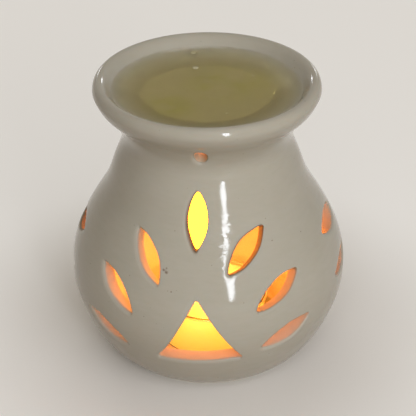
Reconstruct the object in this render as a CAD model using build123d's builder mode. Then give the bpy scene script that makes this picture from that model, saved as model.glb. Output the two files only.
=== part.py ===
"""Essential oil burner: a glazed stoneware pot with a dish in its top, set down over a lit tealight.

Millimetres, +Z up. The origin is on the table at the pot's axis, and the pierced front faces -Y.
"""

import os
from math import cos, radians, sin

from build123d import *

# Pot: a thrown vase shape, open underneath, with a rolled lip round a shallow dish
total_height = 96.5
belly_radius = 45.0
belly_height = 30.0
foot_radius = 29.6
neck_radius = 27.2
lip_radius = 35.8
lip_above_neck = 15.4
lip_crest_rise = 3.1
lip_crest_inset = 1.9
wall = 5.0
foot_opening_radius = 25.2
foot_round = 1.0

# Outline points between those sizes, as shares of the step in radius and of the step in height
foot_to_belly_shares = [(0.318, 0.133), (0.604, 0.33), (0.844, 0.6), (0.974, 0.833)]
belly_to_neck_shares = [(0.045, 0.167), (0.207, 0.333), (0.449, 0.5), (0.705, 0.667), (0.868, 0.833)]
neck_to_lip_shares = [(0.114, 0.26), (0.4, 0.52), (0.82, 0.78)]

# Dish: sunk in the lip, with its floor closing the top of the pot
dish_depth = 7.2
dish_thickness = 4.0
dish_floor_radius = 19.0
dish_side_share = 0.55
dish_side_drop_share = 0.62

# Water: fills the dish to its depth, and its edge is a little inside the lip's crest
water_edge_inset = 4.1
water_depth = 3.7
water_clearance = 0.05
water_edge_slope_share = 2.0

# Openings cut square to the wall: leaves in a fan round a triangle, and two leaves on each side
leaf_length = 19.4
leaf_width = 6.3
triangle_side = 27.0
triangle_azimuth = -4.2
triangle_lean = -2.2
cut_corner = 0.4
cut_depth = 2.0 * wall

# Each leaf's place: degrees round from the front, share of the total height, and degrees of lean
fan_leaf_shares = [
    (-6.0, 0.657, 0.8),
    (-29.2, 0.541, -34.0),
    (18.8, 0.568, 45.5),
    (-41.7, 0.416, -50.0),
    (30.3, 0.432, 59.0),
    (-47.5, 0.241, -67.0),
    (33.6, 0.266, 67.0),
]
side_leaf_shares = [(80.3, 0.513, 89.0), (78.7, 0.368, 84.0), (-92.0, 0.477, -97.0), (-90.0, 0.335, -93.0)]
triangle_height_share = 0.272

# Vent: a small oval hole through the neck, just under the dish
vent_width = 4.2
vent_height = 5.4
vent_azimuth = -4.0
vent_top_clearance = 1.6
vent_depth_share = 1.2

# Tealight: a clear plastic cup of wax, with its wick held in a steel tab
cup_radius = 18.7
cup_height = 16.0
cup_wall = 0.4
cup_flare = 0.35
cup_rim_width = 0.6
cup_rim_height = 0.5
cup_x = 1.0
cup_y = 2.0
wax_depth = 14.2
wax_clearance = 0.05
tab_radius = 6.3
tab_thickness = 0.4
tab_neck_radius = 1.6
tab_neck_height = 3.6
wick_radius = 0.9
wick_height = 5.0
wick_clearance = 0.03

floor_height = 0.0
lip_height = total_height - lip_crest_rise
lip_crest_radius = lip_radius - lip_crest_inset
neck_height = lip_height - lip_above_neck
dish_floor_height = total_height - dish_depth
water_level = dish_floor_height + water_depth
water_radius = lip_crest_radius - water_edge_inset
ceiling_height = dish_floor_height - dish_thickness


def between(start, end, shares):
    """Points from start to end, each at its shares of the step in radius and of the step in height."""
    return [
        (start[0] + (end[0] - start[0]) * radius_share, start[1] + (end[1] - start[1]) * height_share)
        for radius_share, height_share in shares
    ]


foot = (foot_radius, floor_height)
belly = (belly_radius, belly_height)
neck = (neck_radius, neck_height)
lip = (lip_radius, lip_height)
crest = (lip_crest_radius, total_height)
outline = [foot]
outline += between(foot, belly, foot_to_belly_shares) + [belly]
outline += between(belly, neck, belly_to_neck_shares) + [neck]
outline += between(neck, lip, neck_to_lip_shares) + [lip]
outer_curve = Spline(*outline)


def dish_points(clearance):
    """The dish's inner face from the water line down to its floor, moved in by a clearance."""
    reach = water_radius - dish_floor_radius
    side_radius = dish_floor_radius + reach * dish_side_share
    side_height = dish_floor_height + water_depth * (1 - dish_side_drop_share)
    return [
        (water_radius - clearance, water_level),
        (side_radius - clearance, side_height + clearance),
        (dish_floor_radius - clearance, dish_floor_height + clearance),
    ]


def outline_at(height):
    """The point on the pot's outer face at a height, and the direction of the outline there."""
    low, high = 0.0, 1.0
    for step in range(40):
        middle = (low + high) / 2
        if (outer_curve @ middle).Y < height:
            low = middle
        else:
            high = middle
    return outer_curve @ middle, outer_curve % middle


def wall_place(azimuth, height, lean):
    """A plane on the pot's outer face, square to the wall, with its Y axis leaning from upright."""
    point, along = outline_at(height)
    turn = radians(azimuth)
    outward = Vector(sin(turn), -cos(turn), 0)
    sideways = Vector(cos(turn), sin(turn), 0)
    upward = Vector(0, 0, 1)
    normal = outward * along.Y - upward * along.X
    upright = outward * along.X + upward * along.Y
    across = sideways * cos(radians(lean)) - upright * sin(radians(lean))
    return Plane(origin=outward * point.X + upward * point.Y, x_dir=across, z_dir=normal)


def inset_outline(heights):
    """Points on the pot's inner face: one wall thickness in, square to the outline at each height."""
    points = []
    for height in heights:
        point, along = outline_at(height)
        points.append((point.X - along.Y * wall, point.Y + along.X * wall))
    return points


# Leaf-shaped cutter: two equal arcs that meet in points at the top and the bottom
def leaf_sketch(plane):
    with BuildSketch(plane) as leaf:
        with BuildLine():
            ThreePointArc((0, -leaf_length / 2), (leaf_width / 2, 0), (0, leaf_length / 2))
            ThreePointArc((0, leaf_length / 2), (-leaf_width / 2, 0), (0, -leaf_length / 2))
        make_face()
        fillet(leaf.vertices(), cut_corner)
    return leaf


# Pot body
with BuildPart() as pot:
    # Solid blank, turned round the axis, with the dish sunk in its top
    with BuildSketch(Plane.YZ):
        with BuildLine():
            Line((0, floor_height), foot)
            add(outer_curve)
            EllipticalCenterArc((lip_crest_radius, lip_height), lip_crest_inset, lip_crest_rise, arc_size=90)
            Spline(crest, *dish_points(0), tangents=[(-1, 0), (-1, 0)])
            Line((dish_floor_radius, dish_floor_height), (0, dish_floor_height))
            Line((0, dish_floor_height), (0, floor_height))
        make_face()
    revolve(axis=Axis.Z)

    # Candle chamber: one wall thickness in from the outline, up to the underside of the dish
    with BuildSketch(Plane.YZ):
        with BuildLine():
            inner_points = inset_outline([height for radius, height in outline[:-2]])
            Spline(*inner_points)
            Line(inner_points[-1], (0, inner_points[-1][1]))
            Line((0, inner_points[-1][1]), (0, inner_points[0][1]))
            Line((0, inner_points[0][1]), inner_points[0])
        make_face()
        with Locations((0, ceiling_height / 2)):
            Rectangle(2 * belly_radius, ceiling_height, mode=Mode.INTERSECT)
    revolve(axis=Axis.Z, mode=Mode.SUBTRACT)

    # Open foot
    with BuildSketch(Plane.XY.offset(floor_height)):
        Circle(foot_opening_radius)
    extrude(amount=wall + foot_round, mode=Mode.SUBTRACT)
    fillet(pot.edges().group_by(Axis.Z)[0], foot_round)

    # Leaves
    for azimuth, height_share, lean in fan_leaf_shares + side_leaf_shares:
        leaf = leaf_sketch(wall_place(azimuth, height_share * total_height, lean))
        extrude(leaf.sketch, amount=cut_depth, both=True, mode=Mode.SUBTRACT)

    # Triangle at the foot of the fan
    triangle_place = wall_place(triangle_azimuth, triangle_height_share * total_height, triangle_lean)
    with BuildSketch(triangle_place) as triangle:
        RegularPolygon(triangle_side / 3**0.5, 3, rotation=90)
        fillet(triangle.vertices(), cut_corner)
    extrude(amount=cut_depth, both=True, mode=Mode.SUBTRACT)

    # Vent, level through the neck
    vent_level = ceiling_height + vent_top_clearance - vent_height / 2
    vent_turn = radians(vent_azimuth)
    vent_outward = Vector(sin(vent_turn), -cos(vent_turn), 0)
    vent_place, vent_slope = outline_at(vent_level)
    vent_start = vent_outward * vent_place.X + Vector(0, 0, vent_level)
    with BuildSketch(Plane(origin=vent_start, x_dir=(cos(vent_turn), sin(vent_turn), 0), z_dir=vent_outward)):
        Ellipse(vent_width / 2, vent_height / 2)
    extrude(amount=wall * vent_depth_share, both=True, mode=Mode.SUBTRACT)
pot.part.label = "pot"

# Water with a little oil, filling the dish to just under the lip
with BuildPart() as water:
    with BuildSketch(Plane.YZ):
        with BuildLine():
            pool_points = dish_points(water_clearance)
            edge_slope = water_edge_slope_share * water_depth / (water_radius - dish_floor_radius)
            Spline(*pool_points, tangents=[(-1, -edge_slope), (-1, 0)])
            Line(pool_points[-1], (0, pool_points[-1][1]))
            Line((0, pool_points[-1][1]), (0, water_level))
            Line((0, water_level), pool_points[0])
        make_face()
    revolve(axis=Axis.Z)
water.part.label = "water_and_oil"

# Everything in the tealight stands on the table round its own axis
cup_plane = Plane(origin=(cup_x, cup_y, floor_height))
tab_top = cup_wall + tab_thickness

# Cup: clear plastic, a little wider at the top, with a square rim that stands out
with BuildPart() as cup:
    with BuildSketch(cup_plane):
        Circle(cup_radius - cup_flare)
    with BuildSketch(cup_plane.offset(cup_height)):
        Circle(cup_radius)
    loft()
    with BuildSketch(cup_plane.offset(cup_height - cup_rim_height)):
        Circle(cup_radius + cup_rim_width)
    extrude(amount=cup_rim_height)
    with BuildSketch(cup_plane.offset(cup_wall)):
        Circle(cup_radius - cup_flare - cup_wall)
    with BuildSketch(cup_plane.offset(cup_height)):
        Circle(cup_radius - cup_wall)
    loft(mode=Mode.SUBTRACT)
cup.part.label = "tealight_cup"

# Wick tab: a steel disc on the cup's floor, with a short neck that grips the wick
with BuildPart() as tab:
    with BuildSketch(cup_plane.offset(cup_wall)):
        Circle(tab_radius)
    extrude(amount=tab_thickness)
    with BuildSketch(cup_plane.offset(tab_top)):
        Circle(tab_neck_radius)
    extrude(amount=tab_neck_height)
    with BuildSketch(cup_plane.offset(tab_top)):
        Circle(wick_radius + wick_clearance)
    extrude(amount=tab_neck_height, mode=Mode.SUBTRACT)
tab.part.label = "wick_tab"

# Wick: from the tab up through the wax
with BuildPart() as wick:
    with BuildSketch(cup_plane.offset(tab_top)):
        Circle(wick_radius)
    extrude(amount=cup_wall + wax_depth + wick_height - tab_top)
wick.part.label = "wick"

# Wax: fills the cup round the wick and its tab
with BuildPart() as wax:
    with BuildSketch(cup_plane.offset(cup_wall)):
        Circle(cup_radius - cup_flare - cup_wall - wax_clearance)
    extrude(amount=wax_depth)
    with BuildSketch(cup_plane.offset(cup_wall)):
        Circle(tab_radius + wax_clearance)
    extrude(amount=tab_thickness + wax_clearance, mode=Mode.SUBTRACT)
    with BuildSketch(cup_plane.offset(cup_wall)):
        Circle(tab_neck_radius + wax_clearance)
    extrude(amount=tab_thickness + tab_neck_height + wax_clearance, mode=Mode.SUBTRACT)
    with BuildSketch(cup_plane.offset(cup_wall)):
        Circle(wick_radius + wick_clearance)
    extrude(amount=wax_depth, mode=Mode.SUBTRACT)
wax.part.label = "wax"

os.makedirs("parts", exist_ok=True)
for piece in (pot, water, cup, tab, wick, wax):
    export_step(piece.part, f"parts/{piece.part.label}.step")
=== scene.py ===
import math
import random

import bmesh
import bpy
import numpy as np
from mathutils import Matrix, Vector
from mathutils.geometry import delaunay_2d_cdt


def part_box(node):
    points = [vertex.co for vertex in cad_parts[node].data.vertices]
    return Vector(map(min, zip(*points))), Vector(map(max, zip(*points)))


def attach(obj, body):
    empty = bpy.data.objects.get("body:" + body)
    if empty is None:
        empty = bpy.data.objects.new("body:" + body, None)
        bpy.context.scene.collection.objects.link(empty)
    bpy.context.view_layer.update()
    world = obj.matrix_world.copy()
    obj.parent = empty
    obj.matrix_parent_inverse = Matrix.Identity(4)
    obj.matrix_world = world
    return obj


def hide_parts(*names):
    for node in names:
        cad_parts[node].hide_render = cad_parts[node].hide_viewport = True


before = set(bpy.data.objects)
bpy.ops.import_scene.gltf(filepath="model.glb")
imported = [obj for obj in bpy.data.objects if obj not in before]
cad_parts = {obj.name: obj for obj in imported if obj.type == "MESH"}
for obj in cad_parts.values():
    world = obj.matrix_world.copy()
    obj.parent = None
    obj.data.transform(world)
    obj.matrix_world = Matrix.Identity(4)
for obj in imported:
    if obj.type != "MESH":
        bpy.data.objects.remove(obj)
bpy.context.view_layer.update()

scene = bpy.context.scene
mm = 0.001

# Camera
# Looks down on the dish from in front, at the photograph's angle, distance and slight tilt of the hand.
camera_elevation = math.radians(31.22)
camera_tilt = math.radians(-0.482)
camera_distance = 459.5 * mm
camera_aim = Vector((0, 0, 48.97 * mm))
sensor_width = 36.0
focal_length = 121.15
nearest_seen = 10 * mm

camera_back = Vector((0, -math.cos(camera_elevation), math.sin(camera_elevation)))
camera = bpy.data.objects.new("camera", bpy.data.cameras.new("camera"))
camera.data.sensor_width = sensor_width
camera.data.lens = focal_length
camera.data.clip_start = nearest_seen
camera.location = camera_aim + camera_back * camera_distance
camera_turn = (-camera_back).to_track_quat("-Z", "Y").to_matrix() @ Matrix.Rotation(camera_tilt, 3, "Z")
camera.rotation_euler = camera_turn.to_euler()
scene.collection.objects.link(camera)
scene.camera = camera
scene.view_settings.view_transform = "Standard"


# Studio
# A pale paper floor under a pale sky. A large soft lamp in front and one behind give the light, and a tall oval one
# stands in for the window that the glaze mirrors. Two small panes behind put a glint on each side of the lip.
def linear(colour):
    """An sRGB hex colour as linear red, green, blue and alpha."""
    shares = [int(colour[place:place + 2], 16) / 255 for place in (1, 3, 5)]
    return (*[c / 12.92 if c <= 0.04045 else ((c + 0.055) / 1.055) ** 2.4 for c in shares], 1.0)


def add_node(tree, kind, inputs=None, **settings):
    """Adds a node, sets its settings, and sets or links each input that is given."""
    node = tree.nodes.new(kind)
    for name, value in settings.items():
        setattr(node, name, value)
    for name, value in (inputs or {}).items():
        if isinstance(value, bpy.types.NodeSocket):
            tree.links.new(value, node.inputs[name])
        else:
            node.inputs[name].default_value = value
    return node


def new_material(name):
    """An empty node material, its tree, and the piece's own coordinates in it."""
    material = bpy.data.materials.new(name)
    material.use_nodes = True
    tree = material.node_tree
    tree.nodes.clear()
    return material, tree, add_node(tree, "ShaderNodeTexCoord").outputs["Object"]


def mottled(tree, where, patch_size, detail, low, high):
    """A cloudy pattern with patches of a size, and the colour that goes from one tone to another with it."""
    pattern = add_node(tree, "ShaderNodeTexNoise", {"Vector": where, "Scale": 1 / patch_size, "Detail": detail})
    colour = add_node(tree, "ShaderNodeMix", {0: pattern.outputs[0], 6: linear(low), 7: linear(high)}, data_type="RGBA")
    return pattern.outputs[0], colour.outputs[2]


def new_piece(name, points, faces, materials, face_materials=None):
    """A smooth mesh object at the origin, made of points in metres."""
    mesh = bpy.data.meshes.new(name)
    mesh.from_pydata([tuple(p) for p in points], [], [tuple(f) for f in faces])
    for material in materials:
        mesh.materials.append(material)
    if face_materials is not None:
        mesh.polygons.foreach_set("material_index", face_materials)
    mesh.polygons.foreach_set("use_smooth", [True] * len(mesh.polygons))
    mesh.update()
    piece = bpy.data.objects.new(name, mesh)
    scene.collection.objects.link(piece)
    return piece


floor_reach = 3.0
paper_grain = 0.8 * mm
under_pot_reach = 30 * mm
paper_glow = 1.0
paper_glow_share = 0.5
paper_glow_start = 34 * mm
paper_glow_full = 110 * mm


def seen_rays(tree):
    """1 for a ray from the camera, in a reflection or through glass, and 0 for a ray that only carries light."""
    path = add_node(tree, "ShaderNodeLightPath").outputs
    through = add_node(tree, "ShaderNodeMath", {0: path["Is Camera Ray"], 1: path["Is Transmission Ray"]},
                       operation="MAXIMUM")
    return add_node(tree, "ShaderNodeMath", {0: through.outputs[0], 1: path["Is Glossy Ray"]}, operation="MAXIMUM")


# Pale paper with a fine grain. Beside the pot the light that it carries is warm and dim, and further off it fades
# into the sky.
floor_material, tree, where = new_material("floor_paper")
_, tone = mottled(tree, where, paper_grain, 2.0, "#F2EEE7", "#EFEBE3")
away = add_node(tree, "ShaderNodeVectorMath", {0: where}, operation="LENGTH").outputs["Value"]
beside_pot = add_node(tree, "ShaderNodeMapRange", {0: away, 1: under_pot_reach, 2: paper_glow_start})
seen = seen_rays(tree).outputs[0]
carried = add_node(tree, "ShaderNodeMath", {0: beside_pot.outputs[0], 1: seen}, operation="SUBTRACT", use_clamp=True)
cast = add_node(tree, "ShaderNodeMix", {0: carried.outputs[0], 6: tone, 7: linear("#A08E76")}, data_type="RGBA")
paper = add_node(tree, "ShaderNodeBsdfPrincipled", {"Base Color": cast.outputs[2], "Roughness": 0.75})
paleness = add_node(tree, "ShaderNodeEmission", {"Color": linear("#F6F3EE"), "Strength": paper_glow})
glow_here = add_node(tree, "ShaderNodeMapRange", {
    0: away, 1: paper_glow_start, 2: paper_glow_full, 4: paper_glow_share,
}, interpolation_type="SMOOTHSTEP")
glow_share = add_node(tree, "ShaderNodeMath", {0: seen, 1: glow_here.outputs[0]}, operation="MULTIPLY")
floor_mix = add_node(tree, "ShaderNodeMixShader", {
    0: glow_share.outputs[0], 1: paper.outputs[0], 2: paleness.outputs[0],
})
add_node(tree, "ShaderNodeOutputMaterial", {"Surface": floor_mix.outputs[0]})
floor_corners = [(x * floor_reach, y * floor_reach, 0) for x, y in ((-1, -1), (1, -1), (1, 1), (-1, 1))]
floor = new_piece("floor", floor_corners, [(0, 1, 2, 3)], [floor_material])

sky_strength = 0.22
backdrop_strength = 0.65
world = bpy.data.worlds.new("studio_sky")
scene.world = world
world.use_nodes = True
tree = world.node_tree
tree.nodes.clear()
sky_light = add_node(tree, "ShaderNodeBackground", {"Color": linear("#E9D4B2"), "Strength": sky_strength})
sky_seen = add_node(tree, "ShaderNodeBackground", {"Color": linear("#F4F1EB"), "Strength": backdrop_strength})
sky = add_node(tree, "ShaderNodeMixShader", {
    0: seen_rays(tree).outputs[0], 1: sky_light.outputs[0], 2: sky_seen.outputs[0],
})
add_node(tree, "ShaderNodeOutputWorld", {"Surface": sky.outputs[0]})


def add_lamp(name, azimuth, elevation, distance, size, power, colour, aim):
    """A soft lamp at an azimuth and elevation round the pot, turned towards a point. Size is width and height."""
    data = bpy.data.lights.new(name, "AREA")
    data.shape = "RECTANGLE"
    data.size, data.size_y = size
    data.energy = power
    data.color = linear(colour)[:3]
    lamp = bpy.data.objects.new(name, data)
    turn, rise = math.radians(azimuth), math.radians(elevation)
    out = Vector((math.sin(turn) * math.cos(rise), -math.cos(turn) * math.cos(rise), math.sin(rise)))
    lamp.location = aim + out * distance
    lamp.rotation_euler = out.to_track_quat("Z", "Y").to_euler()
    lamp.visible_camera = False
    scene.collection.objects.link(lamp)
    return lamp


pot_middle = Vector((0, 0, 50 * mm))
add_lamp("soft_lamp", 18, 33, 1.2, (1.4, 1.2), 10.4, "#F4F6FF", pot_middle).visible_glossy = False
add_lamp("back_lamp", 190, 20, 1.3, (1.2, 1.2), 5.0, "#FFFDF9", pot_middle).visible_glossy = False
add_lamp("window", 17.8, 18, 0.95, (0.1, 0.55), 2.2, "#F0F6FF", pot_middle).data.shape = "ELLIPSE"
for side, turn in (("left", -161), ("right", 161)):
    add_lamp(side + "_pane", turn, 17, 0.9, (0.08, 0.12), 0.18, "#F8FAFF", pot_middle)


# Pot
# Thrown stoneware with a rolled lip round a shallow dish, open underneath. Leaves and a triangle were cut through
# the damp wall by hand, and the glaze then rounded every cut edge.
belly_radius = 45.0 * mm
belly_height = 30.0 * mm
foot_radius = 29.6 * mm
foot_opening_radius = 25.2 * mm
foot_round = 1.0 * mm
neck_radius = 27.2 * mm
lip_radius = 35.8 * mm
lip_above_neck = 15.4 * mm
lip_crest_rise = 3.1 * mm
lip_crest_inset = 1.9 * mm
wall = 5.0 * mm
dish_depth = 7.2 * mm
dish_thickness = 4.0 * mm
dish_floor_radius = 19.0 * mm
water_edge_inset = 4.1 * mm
water_depth = 3.7 * mm
dish_side_share = 0.55
dish_side_drop_share = 0.62
foot_to_belly_shares = [(0.318, 0.133), (0.604, 0.33), (0.844, 0.6), (0.974, 0.833)]
belly_to_neck_shares = [(0.045, 0.167), (0.207, 0.333), (0.449, 0.5), (0.705, 0.667), (0.868, 0.833)]
neck_to_lip_shares = [(0.114, 0.26), (0.4, 0.52), (0.82, 0.78)]

total_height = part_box("pot")[1].z
lip_height = total_height - lip_crest_rise
lip_crest_radius = lip_radius - lip_crest_inset
neck_height = lip_height - lip_above_neck
dish_floor_height = total_height - dish_depth
ceiling_height = dish_floor_height - dish_thickness
water_level = dish_floor_height + water_depth
water_radius = lip_crest_radius - water_edge_inset
profile_step = 0.1 * mm


def between(start, end, shares):
    """Points from start to end, each at its shares of the step in radius and of the step in height."""
    return [(start[0] + (end[0] - start[0]) * r, start[1] + (end[1] - start[1]) * h) for r, h in shares]


def smooth_curve(points, start=None, end=None):
    """A cubic curve through points, sampled finely. Start and end may fix its directions there."""
    points = np.array(points, float)
    chords = np.linalg.norm(np.diff(points, axis=0), axis=1)
    count = len(points)
    matrix, sums = np.zeros((count, count)), np.zeros((count, 2))
    for k in range(1, count - 1):
        before, after = chords[k - 1], chords[k]
        matrix[k, k - 1:k + 2] = 1 / before, 2 / before + 2 / after, 1 / after
        sums[k] = 3 * ((points[k] - points[k - 1]) / before**2 + (points[k + 1] - points[k]) / after**2)
    for row, inner, chord, fixed in ((0, 1, chords[0], start), (count - 1, count - 2, chords[-1], end)):
        if fixed is None:
            matrix[row, row], matrix[row, inner] = 2, 1
            sums[row] = 3 * (points[max(row, inner)] - points[min(row, inner)]) / chord
        else:
            matrix[row, row] = 1
            sums[row] = fixed
    slopes = np.linalg.solve(matrix, sums)
    samples = [points[:1]]
    for k, chord in enumerate(chords):
        t = np.linspace(0, 1, max(2, round(chord / profile_step)) + 1)[1:, None]
        samples.append(
            points[k] * (1 + 2 * t) * (1 - t) ** 2
            + points[k + 1] * t**2 * (3 - 2 * t)
            + slopes[k] * chord * t * (1 - t) ** 2
            - slopes[k + 1] * chord * t**2 * (1 - t)
        )
    return np.concatenate(samples)


def round_corner(centre, radius, start, end, steps=16):
    """Points of a round corner, or of an oval one with two radii, from one angle to another in degrees."""
    angles = np.radians(np.linspace(start, end, steps))
    return np.array(centre) + np.stack([np.cos(angles), np.sin(angles)], 1) * radius


foot = (foot_radius, 0)
belly = (belly_radius, belly_height)
neck = (neck_radius, neck_height)
lip = (lip_radius, lip_height)
outline = [foot] + between(foot, belly, foot_to_belly_shares) + [belly]
outline += between(belly, neck, belly_to_neck_shares) + [neck] + between(neck, lip, neck_to_lip_shares) + [lip]
outer = smooth_curve(outline)
along = np.gradient(outer, axis=0)
along /= np.linalg.norm(along, axis=1)[:, None]
inner = outer + np.stack([-along[:, 1], along[:, 0]], 1) * wall
inner = inner[inner[:, 1] < ceiling_height]

# The pot's section, from under the middle of the dish, down the inside, round the foot, up the outside and in again
ceiling_round = 0.5 * mm
ledge_round = 0.6 * mm
flat_steps = 60
lip_steps = 40
foot_rise = math.atan2(along[0, 1], along[0, 0])
foot_tangent = foot_round * math.tan(foot_rise / 2)
inner_wall = inner[inner[:, 1] < ceiling_height - ceiling_round]
outer_wall = outer[outer[:, 1] > foot_tangent * math.sin(foot_rise)]
ceiling_edge = inner_wall[-1, 0] - ceiling_round
dish_side = (dish_floor_radius + (water_radius - dish_floor_radius) * dish_side_share,
             dish_floor_height + water_depth * (1 - dish_side_drop_share))
ceiling = np.stack([np.linspace(0, ceiling_edge, flat_steps), np.full(flat_steps, ceiling_height)], 1)
ceiling_corner = round_corner((ceiling_edge, inner_wall[-1, 1]), ceiling_round, 90, 4)
ledge = round_corner((foot_opening_radius + ledge_round, inner_wall[0, 1] - ledge_round), ledge_round, 90, 180)
foot_inside = round_corner((foot_opening_radius + foot_round, foot_round), foot_round, 180, 270)
foot_outside = round_corner((foot_radius - foot_tangent, foot_round), foot_round, 270, 270 + math.degrees(foot_rise))
lip_top = round_corner((lip_crest_radius, lip_height), (lip_crest_inset, lip_crest_rise), 0, 90, lip_steps)
dish = smooth_curve(
    [lip_top[-1], (water_radius, water_level), dish_side, (dish_floor_radius, dish_floor_height)], (-1, 0), (-1, 0)
)
dish_floor = np.stack([np.linspace(dish_floor_radius, 0, flat_steps), np.full(flat_steps, dish_floor_height)], 1)
parts = [ceiling, ceiling_corner[1:], inner_wall[::-1], ledge, foot_inside, foot_outside, outer_wall[1:], lip_top[1:],
         dish[1:], dish_floor[1:]]
section = np.concatenate(parts)
section_place = np.concatenate([[0], np.cumsum(np.linalg.norm(np.diff(section, axis=0), axis=1))])


def place_of(points):
    """How far along the section a stretch of it starts and ends."""
    ends = [np.argmin(np.linalg.norm(section - p, axis=1)) for p in (points[0], points[-1])]
    return section_place[ends[0]], section_place[ends[1]]


def on_pot(turns, places):
    """Points of the pot's surface at turns round the axis, in radians from the front, and places on the section."""
    radius = np.interp(places, section_place, section[:, 0])
    height = np.interp(places, section_place, section[:, 1])
    return np.stack([radius * np.sin(turns), -radius * np.cos(turns), height], -1)


# Cuts, each an outline in the wall's own plane with the outward direction at each of its points. A leaf's place is its
# azimuth, its height as a share of the pot's, its lean, and how thin the glaze lies on its cut wall, which is also how
# much painted shade darkens that wall. The vent was bored with a tapered tool, so inwards it narrows to a share of its
# size, about a point some way up it.
leaf_length = 19.4 * mm
leaf_width = 6.3 * mm
triangle_side = 27.0 * mm
cut_corner = 0.65 * mm
cut_spacing = 0.62 * mm
hand_wander = 0.07 * mm
leaf_places = [
    (-6.0, 0.657, 0.8, 0.8), (-29.2, 0.541, -34.0, 0.25), (18.8, 0.568, 45.5, 0.9), (-41.7, 0.416, -50.0, 0.2),
    (30.3, 0.432, 59.0, 0.28), (-47.5, 0.241, -67.0, 0.08), (33.6, 0.266, 67.0, 0.06), (80.3, 0.513, 89.0, 0.08),
    (78.7, 0.368, 84.0, 0.2), (-92.0, 0.477, -97.0, 0.7), (-90.0, 0.335, -93.0, 0.4),
]
triangle_place = (-4.2, 0.272, -2.2, 0.22)
vent_width = 4.2 * mm
vent_height = 5.4 * mm
vent_azimuth = -4.0
vent_level = ceiling_height + 1.6 * mm - vent_height / 2
vent_inner_share = 0.26
vent_inner_rise = 0.27
vent_thin_and_shade_share = 0.0
vent_steps = 36
slide_steps = 20


def arc_with_directions(centre, radius, start, end, spacing):
    """Points of an arc and the directions straight out from it, without its last point."""
    steps = max(6, math.ceil(abs(end - start) * radius / spacing))
    angles = np.linspace(start, end, steps, endpoint=False)
    out = np.stack([np.cos(angles), np.sin(angles)], 1)
    return np.array(centre) + radius * out, out


def leaf_outline():
    """A leaf: two long arcs that meet in small round tips."""
    radius = (leaf_length**2 + leaf_width**2) / (4 * leaf_width)
    offset = radius - leaf_width / 2
    half = math.acos(offset / (radius - cut_corner))
    tip = (radius - cut_corner) * math.sin(half)
    stretches = [
        arc_with_directions((-offset, 0), radius, -half, half, cut_spacing),
        arc_with_directions((0, tip), cut_corner, half, math.pi - half, cut_spacing),
        arc_with_directions((offset, 0), radius, math.pi - half, math.pi + half, cut_spacing),
        arc_with_directions((0, -tip), cut_corner, math.pi + half, 2 * math.pi - half, cut_spacing),
    ]
    return [np.concatenate(arrays) for arrays in zip(*stretches)]


def triangle_outline():
    """An equal-sided triangle that stands on a side, with small round corners."""
    corner_reach = triangle_side / math.sqrt(3) - 2 * cut_corner
    middles = [math.radians(a) for a in (90, 210, 330)]
    centres = [np.array([math.cos(a), math.sin(a)]) * corner_reach for a in middles]
    points, outs = [], []
    for k, middle in enumerate(middles):
        corner, out = arc_with_directions(
            centres[k], cut_corner, middle - math.pi / 3, middle + math.pi / 3, cut_spacing
        )
        leaving = np.array([math.cos(middle + math.pi / 3), math.sin(middle + math.pi / 3)])
        steps = math.ceil(triangle_side / cut_spacing)
        side = np.linspace(centres[k], centres[(k + 1) % 3], steps, endpoint=False) + leaving * cut_corner
        points += [corner, side]
        outs += [out, np.repeat(leaving[None], steps, 0)]
    return np.concatenate(points), np.concatenate(outs)


def vent_outline():
    """An upright oval."""
    angles = np.linspace(0, 2 * math.pi, vent_steps, endpoint=False)
    points = np.stack([np.cos(angles) * vent_width / 2, np.sin(angles) * vent_height / 2], 1)
    outs = np.stack([np.cos(angles) * vent_height, np.sin(angles) * vent_width], 1)
    return points, outs / np.linalg.norm(outs, axis=1)[:, None]


def wandered(points, outs, seed):
    """The outline moved in and out a little, as a knife held by hand leaves it."""
    dice = random.Random(seed)
    share = np.linspace(0, 2 * math.pi, len(points), endpoint=False)
    shift = sum(np.sin(wave * share + dice.uniform(0, 2 * math.pi)) * dice.uniform(0.3, 1) for wave in (2, 3, 5))
    return points + outs * (shift * hand_wander)[:, None], outs


def wall_plane(azimuth, height, lean, level=False):
    """A cut's middle on the outer wall, and the directions across, up and out of it. A level cut faces sideways."""
    nearest = np.argmin(abs(outer[:, 1] - height))
    slope = np.array([0.0, 1.0]) if level else along[nearest]
    turn, tilt = math.radians(azimuth), math.radians(lean)
    away = np.array([math.sin(turn), -math.cos(turn), 0])
    beside = np.array([math.cos(turn), math.sin(turn), 0])
    upward = np.array([0, 0, 1.0])
    out = away * slope[1] - upward * slope[0]
    upright = away * slope[0] + upward * slope[1]
    across = beside * math.cos(tilt) - upright * math.sin(tilt)
    return away * outer[nearest, 0] + upward * height, across, np.cross(out, across), out


def slide_to(curve, points, out):
    """Slides points along a direction until they lie on the surface that a curve sweeps round the axis."""
    points = points.copy()
    slopes = np.gradient(curve[:, 0], curve[:, 1])
    for _ in range(slide_steps):
        radius = np.hypot(points[:, 0], points[:, 1])
        gap = radius - np.interp(points[:, 2], curve[:, 1], curve[:, 0])
        rate = (points[:, :2] @ out[:2]) / radius - np.interp(points[:, 2], curve[:, 1], slopes) * out[2]
        points -= out * (gap / rate)[:, None]
    return points


# The outer edges are worn round, widest on the side to which the knife was dragged, and the inner ones a little
outer_edge_reach = 1.6 * mm
knife_drag = np.array([-0.85, 0.0, -0.5])
clean_side_share = 0.3
outer_edge_drop = 0.9 * mm
inner_edge_round = 0.4 * mm
edge_steps = 8
wall_steps = 5
inner_edge_steps = 4


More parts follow.
